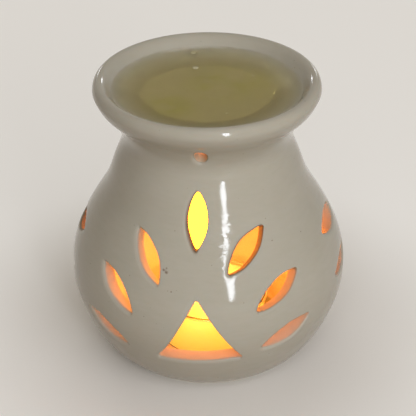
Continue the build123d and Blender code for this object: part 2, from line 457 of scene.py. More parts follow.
def cut_rings(outline_points, outs, plane, inner_squash=1.0, inner_rise=0.0):
    """Rings of points from the outer wall, over its rounded edge, through the cut and round onto the inner wall."""
    middle, across, up, out = plane
    dragged = (np.outer(outs[:, 0], across) + np.outer(outs[:, 1], up)) @ knife_drag
    reach = outer_edge_reach * (clean_side_share + (1 - clean_side_share) * np.clip(0.5 + dragged, 0, 1))

    def at_wall(curve, offset, squash):
        flat = outline_points + outs * np.reshape(offset, (-1, 1))
        still = flat[:, 1].min() + np.ptp(flat[:, 1]) * inner_rise
        raised = still + (flat[:, 1] - still) * squash
        return slide_to(curve, middle + np.outer(flat[:, 0], across) + np.outer(raised, up), out)

    rings = []
    for angle in np.linspace(0, math.pi / 2, edge_steps + 1):
        ring = at_wall(outer, reach * (1 - math.sin(angle)), 1)
        drop = outer_edge_drop * reach / outer_edge_reach * (1 - math.cos(angle))
        rings.append(ring - drop[:, None] * out)
    inner_rings = []
    for angle in np.linspace(math.pi / 2, 0, inner_edge_steps):
        ring = at_wall(inner, inner_edge_round * (1 - math.sin(angle)), inner_squash)
        inner_rings.append(ring + out * inner_edge_round * (1 - math.cos(angle)))
    for share in np.linspace(0, 1, wall_steps + 1)[1:-1]:
        rings.append(rings[edge_steps] * (1 - share) + inner_rings[0] * share)
    return rings + inner_rings


cuts = []
for number, (azimuth, share, lean, _) in enumerate(leaf_places):
    flat = wandered(*leaf_outline(), number)
    cuts.append(cut_rings(*flat, wall_plane(azimuth, share * total_height, lean)))
flat = wandered(*triangle_outline(), len(leaf_places))
cuts.append(cut_rings(*flat, wall_plane(triangle_place[0], triangle_place[1] * total_height, triangle_place[2])))
vent_plane = wall_plane(vent_azimuth, vent_level, 0, True)
cuts.append(cut_rings(*vent_outline(), vent_plane, vent_inner_share, vent_inner_rise))

# Skin: rows round the pot, with a net of triangles fitted round the cuts where the wall is pierced
columns = 264
row_spacing = 1.05 * mm
flat_radius = 38.0 * mm
clear_share = 0.62
near_turn = 0.1
net_tolerance = 1e-6
ceiling_row, foot_row, dish_row = 1.2 * mm, 0.4 * mm, 0.8 * mm
turns = np.linspace(-math.pi, math.pi, columns + 1)
points, faces, face_is_glazed, thin_glaze_and_shade = [], [], [], {}


def add_rows(places, glazed):
    """Plain rows of four-sided faces between places on the section."""
    start = sum(len(p) for p in points)
    grid = np.meshgrid(turns, places)
    points.append(on_pot(grid[0].ravel(), grid[1].ravel()))
    for row in range(len(places) - 1):
        for column in range(columns):
            a = start + row * (columns + 1) + column
            faces.append((a, a + 1, a + columns + 2, a + columns + 1))
            face_is_glazed.append(glazed)


def inside(polygon, probes):
    """Which probe points lie inside a closed outline."""
    ends = np.roll(polygon, -1, axis=0)
    hits = np.zeros(len(probes), bool)
    for (x0, y0), (x1, y1) in zip(polygon, ends):
        if y0 != y1:
            crossing = (y0 > probes[:, 1]) != (y1 > probes[:, 1])
            hits ^= crossing & (probes[:, 0] < (x1 - x0) * (probes[:, 1] - y0) / (y1 - y0) + x0)
    return hits


def add_pierced(start_place, end_place, loops, glazed):
    """A band of the skin with holes. Each loop is an array of turns and places. Returns each loop's point numbers."""
    rows = max(2, round((end_place - start_place) / row_spacing))
    grid = np.meshgrid(turns, np.linspace(start_place, end_place, rows + 1))
    spots = np.stack([grid[0].ravel(), grid[1].ravel()], 1)
    scale = np.array([flat_radius, 1.0])
    keep = np.ones(len(spots), bool)
    for loop in loops:
        low, high = loop.min(0), loop.max(0)
        near = np.flatnonzero(
            (abs(spots[:, 0] - (low[0] + high[0]) / 2) < (high[0] - low[0]) / 2 + near_turn)
            & (abs(spots[:, 1] - (low[1] + high[1]) / 2) < (high[1] - low[1]) / 2 + 3 * row_spacing)
        )
        flat_near, flat_loop = spots[near] * scale, loop * scale
        gaps = np.linalg.norm(flat_near[:, None] - flat_loop[None], axis=2).min(1)
        keep[near] &= ~inside(flat_loop, flat_near) & (gaps > clear_share * row_spacing)
    spots = spots[keep]
    numbers, edges = [], []
    for loop in loops:
        first = len(spots)
        spots = np.concatenate([spots, loop])
        loop_numbers = list(range(first, len(spots)))
        numbers.append(loop_numbers)
        edges += list(zip(loop_numbers, loop_numbers[1:] + loop_numbers[:1]))
    flat_spots = [Vector(p) for p in spots * scale / mm]
    net = delaunay_2d_cdt(flat_spots, edges, [], 0, net_tolerance, True)
    origin = np.array([ids[0] for ids in net[3]])
    triangles = origin[np.array(net[2])]
    middles = (spots * scale)[triangles].mean(1)
    wanted = np.ones(len(triangles), bool)
    for loop in loops:
        wanted &= ~inside(loop * scale, middles)
    start = sum(len(p) for p in points)
    points.append(on_pot(spots[:, 0], spots[:, 1]))
    faces.extend(map(tuple, triangles[wanted] + start))
    face_is_glazed.extend([glazed] * int(wanted.sum()))
    return [[start + n for n in loop_numbers] for loop_numbers in numbers]


def surface_loop(ring, curve, ends):
    """A ring's turns, and its places on the section between two ends of a wall."""
    low, high = ends
    span = (section_place >= low) & (section_place <= high)
    order = np.argsort(section[span, 1])
    turn = np.arctan2(ring[:, 0], -ring[:, 1])
    return np.stack([turn, np.interp(ring[:, 2], section[span, 1][order], section_place[span][order])], 1)


inner_ends = place_of(inner_wall[::-1])
outer_ends = place_of(outer_wall[1:])


def evenly(start, end, spacing):
    """Places from start to end, about a spacing apart."""
    return np.linspace(start, end, max(2, round((end - start) / spacing)) + 1)


add_rows(evenly(0, inner_ends[0], ceiling_row)[1:], False)
inner_loops = add_pierced(*inner_ends, [surface_loop(c[-1], inner, inner_ends) for c in cuts], False)
add_rows(evenly(inner_ends[1], outer_ends[0], foot_row), False)
outer_loops = add_pierced(*outer_ends, [surface_loop(c[0], outer, outer_ends) for c in cuts], True)
add_rows(evenly(outer_ends[1], section_place[-1], dish_row)[:-1], True)

# Poles under and over the dish
for end, order in ((0, 1), (len(points) - 1, -1)):
    start = sum(len(p) for p in points[:end])
    ring_start = start if end == 0 else start + len(points[end]) - (columns + 1)
    height = ceiling_height if end == 0 else dish_floor_height
    pole = sum(len(p) for p in points)
    points.append(np.array([[0, 0, height]]))
    for column in range(columns):
        ends = (ring_start + column, ring_start + column + 1)
        faces.append((pole, *ends[::-1]) if end == 0 else (pole, *ends))
        face_is_glazed.append(end != 0)

# Walls of the cuts. The glaze ran right through the leaves and the triangle, but only round the edge of the vent.
# It thins from a quarter of the way round an edge to three quarters. The brown there is partly thin glaze and partly
# painted shade, as dark on each cut as that cut's share.
thin_and_shade_from, thin_and_shade_rate = 0.25, 2
thin_and_shade_shares = [leaf[-1] for leaf in leaf_places] + [triangle_place[-1], vent_thin_and_shade_share]
for place, (rings, outer_numbers, inner_numbers) in enumerate(zip(cuts, outer_loops, inner_loops)):
    glazed_here = edge_steps if place == len(cuts) - 1 else edge_steps + wall_steps + 1
    numbers = [outer_numbers]
    for k, ring in enumerate(rings[1:-1], 1):
        start = sum(len(p) for p in points)
        points.append(ring)
        numbers.append(list(range(start, start + len(ring))))
        thin_and_shade = thin_and_shade_shares[place] * min(1, max(0, k / edge_steps - thin_and_shade_from) * thin_and_shade_rate)
        thin_glaze_and_shade.update((n, thin_and_shade) for n in numbers[-1])
    numbers.append(inner_numbers)
    for k in range(len(numbers) - 1):
        for a in range(len(outer_numbers)):
            b = (a + 1) % len(outer_numbers)
            faces.append((numbers[k][a], numbers[k][b], numbers[k + 1][b], numbers[k + 1][a]))
            face_is_glazed.append(k < glazed_here)

# Glaze: glossy grey-cream over iron-speckled stoneware. Shows specks, slight clouding and a faintly rippled gloss.
cloud_size = 16 * mm
ripple_size = 5.0 * mm
ripple_height = 0.03 * mm
line_width = 4.5 * mm
line_height = 1.3 * mm
line_depth = 0.16 * mm
thumb_place = (6.5 * mm, -36.0 * mm, 56.5 * mm)
thumb_reach = 14 * mm
peel_size = 1.4 * mm
peel_height = 0.004 * mm
pit_depth = 0.04 * mm
dot_softness = 0.06 * mm
mark_raggedness = 0.6 * mm
glaze, tree, where = new_material("stoneware_glaze")
cloud = add_node(tree, "ShaderNodeTexNoise", {"Vector": where, "Scale": 1 / cloud_size, "Detail": 3.0})
streak = add_node(tree, "ShaderNodeMapping", {0: where, 3: (1 / line_width, 1 / line_width, 1 / line_height)})
streaks = add_node(tree, "ShaderNodeTexNoise", {"Vector": streak.outputs[0], "Scale": 1.0, "Detail": 3.0})
shade = add_node(tree, "ShaderNodeMix", {0: 0.45, 2: cloud.outputs[0], 3: streaks.outputs[0]})
stained = add_node(tree, "ShaderNodeMix", {0: shade.outputs[0], 6: linear("#BAB4A4"), 7: linear("#ACA693")},
                   data_type="RGBA").outputs[2]
# Small specks, then fewer and larger spots: spacing, smallest and largest size, how many of the cells of a random
# pattern hold one, and its strength and colour
speck_kinds = [
    (2.1 * mm, 0.06 * mm, 0.2 * mm, 0.5, 0.62, "#6E675A"),
    (8.5 * mm, 0.15 * mm, 0.38 * mm, 0.45, 0.6, "#5C4C3C"),
]
for spacing, size_low, size_high, share, strength, colour in speck_kinds:
    cells = add_node(tree, "ShaderNodeTexVoronoi", {"Vector": where, "Scale": 1 / spacing})
    chance = add_node(tree, "ShaderNodeSeparateColor", {0: cells.outputs["Color"]})
    size = add_node(tree, "ShaderNodeMapRange", {0: chance.outputs[1], 3: size_low / spacing, 4: size_high / spacing})
    edge = add_node(tree, "ShaderNodeMath", {0: size.outputs[0], 1: cells.outputs["Distance"]}, operation="SUBTRACT")
    soft = add_node(tree, "ShaderNodeMapRange", {0: edge.outputs[0], 1: 0.0, 2: dot_softness / spacing})
    chosen = add_node(tree, "ShaderNodeMath", {0: chance.outputs[0], 1: share}, operation="LESS_THAN")
    spots = add_node(tree, "ShaderNodeMath", {0: soft.outputs[0], 1: chosen.outputs[0]}, operation="MULTIPLY")
    depth = add_node(tree, "ShaderNodeMath", {0: spots.outputs[0], 1: strength}, operation="MULTIPLY")
    stained = add_node(tree, "ShaderNodeMix", {0: depth.outputs[0], 6: stained, 7: linear(colour)},
                       data_type="RGBA").outputs[2]
# Iron marks that came through the glaze, most of them near the cuts. Each is listed: x, y, z and size in mm.
iron_marks = [
    (-13.6, -37.0, 49.4, 0.6), (-12.8, -37.6, 48.9, 0.7), (-12.9, -37.3, 50.2, 0.5), (-11.5, -40.7, 43.8, 0.32),
    (-2.0, -43.6, 39.5, 0.18), (8.9, -26.5, 72.5, 0.22), (-20.5, 24.0, 58.0, 0.3), (17.0, 39.0, 41.0, 0.35),
]
wander = add_node(tree, "ShaderNodeTexNoise", {"Vector": where, "Scale": 1 / mark_raggedness, "Detail": 2.0})
wander_size = add_node(tree, "ShaderNodeMapRange", {0: wander.outputs[0], 3: 0.4, 4: 1.7})
for x, y, z, size in iron_marks:
    gap = add_node(tree, "ShaderNodeVectorMath", {0: where, 1: (x * mm, y * mm, z * mm)}, operation="DISTANCE")
    rough_gap = add_node(tree, "ShaderNodeMath", {0: gap.outputs["Value"], 1: wander_size.outputs[0]},
                         operation="MULTIPLY")
    mark = add_node(tree, "ShaderNodeMapRange", {0: rough_gap.outputs[0], 1: size * mm, 2: size * 0.35 * mm, 4: 0.75})
    stained = add_node(tree, "ShaderNodeMix", {0: mark.outputs[0], 6: stained, 7: linear("#6A5140")},
                       data_type="RGBA").outputs[2]
# Relief: throwing lines that are deepest round the thumb's place, slow ripples, fine orange peel, and pits at the spots
lines = add_node(tree, "ShaderNodeTexNoise", {"Vector": streak.outputs[0], "Scale": 1.0, "Detail": 2.0})
from_thumb = add_node(tree, "ShaderNodeVectorMath", {0: where, 1: thumb_place}, operation="DISTANCE")
line_share = add_node(tree, "ShaderNodeMapRange", {
    0: from_thumb.outputs["Value"], 1: thumb_reach, 2: 0.4 * thumb_reach, 3: 0.12,
}, interpolation_type="SMOOTHSTEP")
line_relief = add_node(tree, "ShaderNodeMath", {0: lines.outputs[0], 1: line_share.outputs[0]}, operation="MULTIPLY")
relief = add_node(tree, "ShaderNodeBump", {"Height": line_relief.outputs[0], "Distance": line_depth})
for size, detail, height in ((ripple_size, 1.0, ripple_height), (peel_size, 2.0, peel_height)):
    waves = add_node(tree, "ShaderNodeTexNoise", {"Vector": where, "Scale": 1 / size, "Detail": detail})
    relief = add_node(tree, "ShaderNodeBump", {
        "Height": waves.outputs[0], "Distance": height, "Normal": relief.outputs[0],
    })
pitted = add_node(tree, "ShaderNodeBump", {
    "Height": spots.outputs[0], "Distance": pit_depth, "Normal": relief.outputs[0],
}, invert=True)
# Brown where the glaze runs thin round the cut edges, which also paints shade on each cut wall, as much as its cut's
# share
edge_mark = add_node(tree, "ShaderNodeAttribute", attribute_name="thin_glaze_and_shade")
edge_shade_depth = add_node(tree, "ShaderNodeMath", {0: edge_mark.outputs["Fac"], 1: 0.9}, operation="MULTIPLY")
dryness = add_node(tree, "ShaderNodeMapRange", {0: edge_mark.outputs["Fac"], 1: 0.02, 2: 0.35, 3: 0.09, 4: 0.85})
thinned_and_shaded = add_node(tree, "ShaderNodeMix", {0: edge_shade_depth.outputs[0], 6: stained, 7: linear("#745639")},
                   data_type="RGBA")
gloss = add_node(tree, "ShaderNodeBsdfPrincipled", {
    "Base Color": thinned_and_shaded.outputs[2], "Roughness": dryness.outputs[0], "IOR": 1.52, "Normal": pitted.outputs[0],
    "Subsurface Weight": 0.1, "Subsurface Radius": (1.0, 0.4, 0.2), "Subsurface Scale": 1.5 * mm,
})
add_node(tree, "ShaderNodeOutputMaterial", {"Surface": gloss.outputs[0]})

# Bare stoneware: fired clay without glaze. Matt, pale buff and slightly gritty.
grit_size = 0.5 * mm
grit_height = 0.05 * mm
clay, tree, where = new_material("bare_stoneware")
grit, buff = mottled(tree, where, grit_size, 3.0, "#E0D2B8", "#CFBFA2")
gritty = add_node(tree, "ShaderNodeBump", {"Height": grit, "Distance": grit_height})
matt = add_node(tree, "ShaderNodeBsdfPrincipled", {"Base Color": buff, "Roughness": 0.85, "Normal": gritty.outputs[0]})
add_node(tree, "ShaderNodeOutputMaterial", {"Surface": matt.outputs[0]})

fine_seam = 0.0005 * mm
pot_seam = 0.002 * mm


def weld(piece, reach=fine_seam):
    """Joins points that lie together, and turns every face outwards."""
    shell = bmesh.new()
    shell.from_mesh(piece.data)
    bmesh.ops.remove_doubles(shell, verts=shell.verts, dist=reach)
    bmesh.ops.recalc_face_normals(shell, faces=shell.faces)
    shell.to_mesh(piece.data)
    shell.free()


pot = new_piece("pot_body", np.concatenate(points), faces, [clay, glaze], [int(g) for g in face_is_glazed])
thin_and_shade_mark = pot.data.attributes.new("thin_glaze_and_shade", "FLOAT", "POINT")
thin_and_shade_mark.data.foreach_set("value", [thin_glaze_and_shade.get(n, 0.0) for n in range(len(pot.data.vertices))])
weld(pot, pot_seam)
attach(pot, "burner")
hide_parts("pot")


# Water and oil
# About 8 ml of water with a few drops of oil on it, poured into the dish. It climbs the glaze a little at its edge,
# and the oil tints it yellow-green.
meniscus_rise = 0.8 * mm
meniscus_reach = 1.8 * mm
pool_drop = 0.5 * mm
dish_overlap = 0.06 * mm
first_ring_gap = 0.08 * mm
pool_rings = 36
under_step = 6
water_columns = 200
water_seam = 0.001 * mm


def turned(profile, columns, centre=(0, 0)):
    """The points and faces of a closed shape turned round an upright axis. Its profile starts and ends on the axis."""
    profile = np.asarray(profile)
    angles = np.linspace(0, 2 * math.pi, columns, endpoint=False)
    rings = profile[1:-1]
    ring_points = np.stack([
        centre[0] + np.outer(rings[:, 0], np.cos(angles)),
        centre[1] + np.outer(rings[:, 0], np.sin(angles)),
        np.repeat(rings[:, 1:], columns, 1),
    ], -1).reshape(-1, 3)
    ends = [[centre[0], centre[1], profile[k, 1]] for k in (0, -1)]
    first, last = len(ring_points), len(ring_points) + 1
    quads = [
        (row * columns + a, row * columns + (a + 1) % columns, (row + 1) * columns + (a + 1) % columns,
         (row + 1) * columns + a)
        for row in range(len(rings) - 1) for a in range(columns)
    ]
    top = (len(rings) - 1) * columns
    fans = [(first, (a + 1) % columns, a) for a in range(columns)]
    fans += [(last, top + a, top + (a + 1) % columns) for a in range(columns)]
    return np.concatenate([ring_points, ends]), quads + fans


dish_curve = np.concatenate([dish, dish_floor[1:]])
contact = np.flatnonzero(dish_curve[:, 1] < water_level + meniscus_rise - pool_drop)[0]
contact_radius = dish_curve[contact, 0]
pool_radii = contact_radius - np.concatenate([[0], np.geomspace(first_ring_gap, contact_radius * 0.9, pool_rings)])
pool_heights = water_level - pool_drop + meniscus_rise * np.exp((pool_radii - contact_radius) / meniscus_reach)
under = dish_curve[contact::under_step] + np.array([0, -dish_overlap])
under[0, 0] += dish_overlap
water_profile = np.concatenate([
    [[0, pool_heights[-1]]], np.stack([pool_radii, pool_heights], 1)[::-1], under[:-1], [[0, under[-1, 1]]],
])

# Water tinted by oil: clear, and darker and greener where it is deep. Shows a mirror-like top with a bright edge line.
# The slicks of oil on it are x, y and reach in mm.
oil_patch_size = 14 * mm
slick_places = [(7, 4, 19), (-11, -11, 11)]
sway_size = 9 * mm
sway_height = 0.02 * mm
water_material, tree, where = new_material("water_with_oil")
patches = add_node(tree, "ShaderNodeTexNoise", {"Vector": where, "Scale": 1 / oil_patch_size, "Detail": 2.0})
patch_share = add_node(tree, "ShaderNodeMapRange", {0: patches.outputs[0], 1: 0.35, 2: 0.55})
slick = 0.0
for x, y, reach in slick_places:
    gap = add_node(tree, "ShaderNodeVectorMath", {0: where, 1: (x * mm, y * mm, water_level)}, operation="DISTANCE")
    near = add_node(tree, "ShaderNodeMapRange", {0: gap.outputs["Value"], 1: reach * mm, 2: reach * 0.3 * mm},
                    interpolation_type="SMOOTHSTEP")
    slick = add_node(tree, "ShaderNodeMath", {0: slick, 1: near.outputs[0]}, operation="MAXIMUM").outputs[0]
oily = add_node(tree, "ShaderNodeMath", {0: patch_share.outputs[0], 1: slick}, operation="MULTIPLY")
tint = add_node(tree, "ShaderNodeMix", {0: oily.outputs[0], 6: linear("#FAF6F1"), 7: linear("#F1F2B8")},
                data_type="RGBA")
sway = add_node(tree, "ShaderNodeTexNoise", {"Vector": where, "Scale": 1 / sway_size, "Detail": 1.0})
rippling = add_node(tree, "ShaderNodeBump", {"Height": sway.outputs[0], "Distance": sway_height})
clear = add_node(tree, "ShaderNodeBsdfPrincipled", {
    "Base Color": tint.outputs[2], "Roughness": 0.0, "IOR": 1.33, "Transmission Weight": 1.0,
    "Normal": rippling.outputs[0],
})
depth_tint = add_node(tree, "ShaderNodeVolumeAbsorption", {"Color": linear("#E3D745"), "Density": 178.0})
add_node(tree, "ShaderNodeOutputMaterial", {"Surface": clear.outputs[0], "Volume": depth_tint.outputs[0]})

water = new_piece("water_pool", *turned(water_profile, water_columns), [water_material])
weld(water, water_seam)
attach(water, "burner")
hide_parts("water_and_oil")

# Drops of oil that float on the water, each a thin lens whose pale yellow colour is partly a painted glint, so that it
# shows as a pale glossy dot. A place is x, y and the drop's radius in mm.
drop_places = [(-4.2, 26.6, 1.1), (-3.6, 15.2, 1.0), (14.5, 9.0, 0.4), (-17.5, -3.0, 0.35), (6.0, -16.5, 0.4)]
drop_rise = 0.12
drop_rows = 15
drop_columns = 32
oil_material, tree, _ = new_material("floating_oil")
# Pale, half clear colour: partly the oil's own tint and partly a painted glint
drop_gloss_and_glint = add_node(tree, "ShaderNodeBsdfPrincipled", {
    "Base Color": linear("#DDD5AC"), "Roughness": 0.02, "IOR": 1.47, "Transmission Weight": 0.3,
})
add_node(tree, "ShaderNodeOutputMaterial", {"Surface": drop_gloss_and_glint.outputs[0]})
drop_points, drop_faces = [], []
for x, y, radius in drop_places:
    profile = round_corner(
        (0, water_level - pool_drop), (radius * mm, radius * drop_rise * mm), 90, -90, drop_rows
    )
    some_points, some_faces = turned(profile, drop_columns, (x * mm, y * mm))
    start = len(drop_points)
    drop_points += list(some_points)
    drop_faces += [tuple(start + n for n in face) for face in some_faces]
drops = new_piece("oil_drops", drop_points, drop_faces, [oil_material])
weld(drops)
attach(drops, "burner")


# Tealight cup
# Clear polycarbonate, moulded with a plain wall, a square rim to grip and a base raised inside the ring that it
# stands on. The glowing wax shows through it.
cup_centre = (1.0 * mm, 2.0 * mm)
cup_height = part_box("tealight_cup")[1].z
cup_base_radius = 18.35 * mm
cup_top_radius = 18.7 * mm
cup_wall = 0.4 * mm
cup_rim_width = 0.6 * mm
cup_rim_height = 0.5 * mm
cup_rim_round = 0.12 * mm
cup_base_round = 0.8 * mm
cup_ring_radius = 15.6 * mm
cup_ring_height = 0.15 * mm
cup_ring_slope = 0.4 * mm
cup_wall_start = 1.2 * mm
wall_rows = 20
cup_columns = 192

rim_edge = cup_top_radius + cup_rim_width - cup_rim_round
rim_bottom = cup_height - cup_rim_height
outside = np.concatenate([
    [[0, cup_ring_height], [cup_ring_radius - cup_ring_slope, cup_ring_height], [cup_ring_radius, 0]],
    round_corner((cup_base_radius - cup_base_round, cup_base_round), cup_base_round, 270, 360, 9),
    np.stack([np.linspace(cup_base_radius, cup_top_radius, wall_rows),
              np.linspace(cup_wall_start, rim_bottom - cup_rim_round, wall_rows)], 1),
    round_corner((rim_edge, rim_bottom + cup_rim_round), cup_rim_round, 270, 360, 5),
    round_corner((rim_edge, cup_height - cup_rim_round), cup_rim_round, 0, 90, 5),
    round_corner((cup_top_radius - cup_wall + cup_rim_round, cup_height - cup_rim_round), cup_rim_round, 90, 180, 5),
])
inside_wall = np.stack([
    np.linspace(cup_top_radius - cup_wall, cup_base_radius - cup_wall, wall_rows),
    np.linspace(rim_bottom, cup_wall_start, wall_rows),
], 1)
inside_base = round_corner(
    (cup_base_radius - cup_wall - cup_base_round / 2, cup_wall + cup_base_round / 2), cup_base_round / 2, 0, -90, 6
)
cup_profile = np.concatenate([outside, inside_wall, inside_base, [[cup_ring_radius, cup_wall], [0, cup_wall]]])

# Polycarbonate: clear and glossy. Shows bright edges at the rim, and a slight waviness from the mould.
mould_wave_size = 5 * mm
mould_wave_height = 0.03 * mm
polycarbonate, tree, where = new_material("clear_polycarbonate")
flow, faint = mottled(tree, where, mould_wave_size, 1.0, "#FBFCFB", "#F3F5F3")
haze = add_node(tree, "ShaderNodeMapRange", {0: flow, 3: 0.02, 4: 0.08})
wavy = add_node(tree, "ShaderNodeBump", {"Height": flow, "Distance": mould_wave_height})
clear_cup = add_node(tree, "ShaderNodeBsdfPrincipled", {
    "Base Color": faint, "Roughness": haze.outputs[0], "IOR": 1.58, "Transmission Weight": 1.0,
    "Normal": wavy.outputs[0],
})
add_node(tree, "ShaderNodeOutputMaterial", {"Surface": clear_cup.outputs[0]})
cup = new_piece("cup_shell", *turned(cup_profile, cup_columns, cup_centre), [polycarbonate])
weld(cup)
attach(cup, "tealight")
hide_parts("tealight_cup")


# Wick tab
# A tinned steel disc on the cup's floor, stamped with a short neck that is crimped round the wick from two sides. It
# keeps the wick upright when the wax has melted.
tab_columns = 96
crimp_share = 0.16
crimp_height = 2.9 * mm
crimp_reach = 0.7 * mm
neck_bottom = 1.1 * mm
tab_profile = np.array([
    (0, 0.4), (5.9, 0.4), (6.18, 0.48), (6.3, 0.6), (6.18, 0.74), (5.9, 0.8), (4.4, 0.8), (4.1, 0.92), (3.4, 0.92),
    (3.1, 0.8), (2.2, 0.84), (1.8, 1.05), (1.62, 1.4), (1.58, 2.0), (1.56, 2.6), (1.55, 3.2), (1.56, 3.8),
    (1.58, 4.2), (1.5, 4.36), (1.3, 4.4), (1.05, 4.32), (0.96, 4.1), (0.95, 3.4), (0.95, 2.6), (0.95, 1.6),
    (0.9, 0.85), (0, 0.8),
]) * mm
tab_points, tab_faces = turned(tab_profile, tab_columns, cup_centre)
for point in tab_points:
    offset = point[:2] - cup_centre
    if point[2] > neck_bottom:
        pinch = crimp_share * math.exp(-(((point[2] - crimp_height) / crimp_reach) ** 2))
        point[:2] = cup_centre + offset * (1 - pinch * math.cos(math.atan2(offset[1], offset[0])) ** 4)

# Tinned steel: dull silver with a fine stamped grain.
stamped_grain = 0.4 * mm
steel, tree, where = new_material("tinned_steel")
spangle, grey = mottled(tree, where, stamped_grain, 2.0, "#C9CBCC", "#B3B5B6")
dull = add_node(tree, "ShaderNodeMapRange", {0: spangle, 3: 0.28, 4: 0.46})
plate = add_node(tree, "ShaderNodeBsdfPrincipled", {"Base Color": grey, "Metallic": 1.0, "Roughness": dull.outputs[0]})
add_node(tree, "ShaderNodeOutputMaterial", {"Surface": plate.outputs[0]})
tab = new_piece("tab_disc", tab_points, tab_faces, [steel])
weld(tab)
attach(tab, "tealight")
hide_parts("wick_tab")


# Wick
# Cotton yarn braided in two directions and soaked in wax, held in the neck of the tab. Its top has burnt black and
# bends over into the flame.
wick_low, wick_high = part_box("wick")
wick_bottom = wick_low.z
wick_length = wick_high.z - wick_bottom
strand_count = 8
strand_sides = 8
strand_steps = 14
strand_radius = 0.24 * mm
braid_radius = 0.62 * mm
braid_turns = 4.0
bend_height = 14.8 * mm
bend_rate = 42.0
char_height = 15.3 * mm
char_fade = 1.4 * mm
ember_height = 19.1 * mm
ember_fade = 0.4 * mm
fuzz_size = 0.25 * mm
fuzz_height = 0.05 * mm


def shaped(base, name, tree, values):
    """Runs a node tree on a base object, and returns the result as a plain mesh piece in its place."""
    modifier = base.modifiers.new(name, "NODES")
    modifier.node_group = tree
    for socket in tree.interface.items_tree:
        if socket.in_out == "INPUT" and socket.name in values:
            modifier[socket.identifier] = values[socket.name]
    graph = bpy.context.evaluated_depsgraph_get()
    mesh = bpy.data.meshes.new_from_object(base.evaluated_get(graph), preserve_all_data_layers=True, depsgraph=graph)
    bpy.data.objects.remove(base)
    mesh.name = name
    mesh.polygons.foreach_set("use_smooth", [True] * len(mesh.polygons))
    piece = bpy.data.objects.new(name, mesh)
    scene.collection.objects.link(piece)
    return piece


def new_tree(name, sizes):
    """An empty geometry node tree with named inputs for its sizes, and those inputs."""
    tree = bpy.data.node_groups.new(name, "GeometryNodeTree")
    tree.interface.new_socket(name="Geometry", in_out="INPUT", socket_type="NodeSocketGeometry")
    for size, kind in sizes.items():
        tree.interface.new_socket(name=size, in_out="INPUT", socket_type=kind)
    tree.interface.new_socket(name="Geometry", in_out="OUTPUT", socket_type="NodeSocketGeometry")
    return tree, add_node(tree, "NodeGroupInput").outputs


def finish_tree(tree, geometry, material):
    """Ends a tree: instances made real, and the material set."""
    real = add_node(tree, "GeometryNodeRealizeInstances", {"Geometry": geometry})
    dressed = add_node(tree, "GeometryNodeSetMaterial", {"Geometry": real.outputs[0], "Material": material})
    add_node(tree, "NodeGroupOutput", {"Geometry": dressed.outputs[0]})


# Burnt cotton: cream and waxy below, sooty black above, with a spark at the very tip.
cotton, tree, where = new_material("braided_cotton")
height = add_node(tree, "ShaderNodeSeparateXYZ", {0: where})
fuzz, fibre = mottled(tree, where, fuzz_size, 3.0, "#E4D9BC", "#CDBF9C")
charred = add_node(tree, "ShaderNodeMapRange", {0: height.outputs[2], 1: char_height - char_fade, 2: char_height})
soot = add_node(tree, "ShaderNodeMix", {0: fuzz, 6: linear("#15110F"), 7: linear("#2A221D")}, data_type="RGBA")
burnt = add_node(tree, "ShaderNodeMix", {0: charred.outputs[0], 6: fibre, 7: soot.outputs[2]}, data_type="RGBA")
spark = add_node(tree, "ShaderNodeMapRange", {0: height.outputs[2], 1: ember_height, 2: ember_height + ember_fade})
fuzzy = add_node(tree, "ShaderNodeBump", {"Height": fuzz, "Distance": fuzz_height})
yarn = add_node(tree, "ShaderNodeBsdfPrincipled", {
    "Base Color": burnt.outputs[2], "Roughness": 0.8, "Normal": fuzzy.outputs[0],
    "Emission Color": linear("#FF6A22"), "Emission Strength": spark.outputs[0],
})
add_node(tree, "ShaderNodeOutputMaterial", {"Surface": yarn.outputs[0]})

tree, given = new_tree("wick_braid", {
    "Strands": "NodeSocketInt", "Strand Radius": "NodeSocketFloat", "Braid Radius": "NodeSocketFloat",
    "Turns": "NodeSocketFloat", "Length": "NodeSocketFloat", "Foot": "NodeSocketVector",
    "Bend Height": "NodeSocketFloat", "Bend Rate": "NodeSocketFloat",
})
strand_section = add_node(tree, "GeometryNodeCurvePrimitiveCircle", {
    "Resolution": strand_sides, "Radius": given["Strand Radius"],
})
starts = add_node(tree, "GeometryNodePoints", {"Count": given["Strands"]})
number = add_node(tree, "GeometryNodeInputIndex").outputs[0]
step = add_node(tree, "ShaderNodeMath", {0: 2 * math.pi, 1: given["Strands"]}, operation="DIVIDE")
angle = add_node(tree, "ShaderNodeMath", {0: number, 1: step.outputs[0]}, operation="MULTIPLY")
facing = add_node(tree, "ShaderNodeCombineXYZ", {2: angle.outputs[0]})
braid = add_node(tree, "GeometryNodeJoinGeometry")
for direction in (False, True):
    helix = add_node(tree, "GeometryNodeCurveSpiral", {
        "Resolution": strand_steps, "Rotations": given["Turns"], "Start Radius": given["Braid Radius"],
        "End Radius": given["Braid Radius"], "Height": given["Length"], "Reverse": direction,
    })
    strand = add_node(tree, "GeometryNodeCurveToMesh", {
        "Curve": helix.outputs[0], "Profile Curve": strand_section.outputs[0], "Fill Caps": True,
    })
    laid = add_node(tree, "GeometryNodeInstanceOnPoints", {
        "Points": starts.outputs[0], "Instance": strand.outputs[0], "Rotation": facing.outputs[0],
    })
    tree.links.new(laid.outputs[0], braid.inputs[0])
made_real = add_node(tree, "GeometryNodeRealizeInstances", {"Geometry": braid.outputs[0]})
stood = add_node(tree, "GeometryNodeSetPosition", {"Geometry": made_real.outputs[0], "Offset": given["Foot"]})
place = add_node(tree, "GeometryNodeInputPosition").outputs[0]
upright = add_node(tree, "ShaderNodeSeparateXYZ", {0: place})
above = add_node(tree, "ShaderNodeMath", {0: upright.outputs[2], 1: given["Bend Height"]}, operation="SUBTRACT")
over = add_node(tree, "ShaderNodeMath", {0: above.outputs[0], 1: 0.0}, operation="MAXIMUM")
square = add_node(tree, "ShaderNodeMath", {0: over.outputs[0], 1: over.outputs[0]}, operation="MULTIPLY")
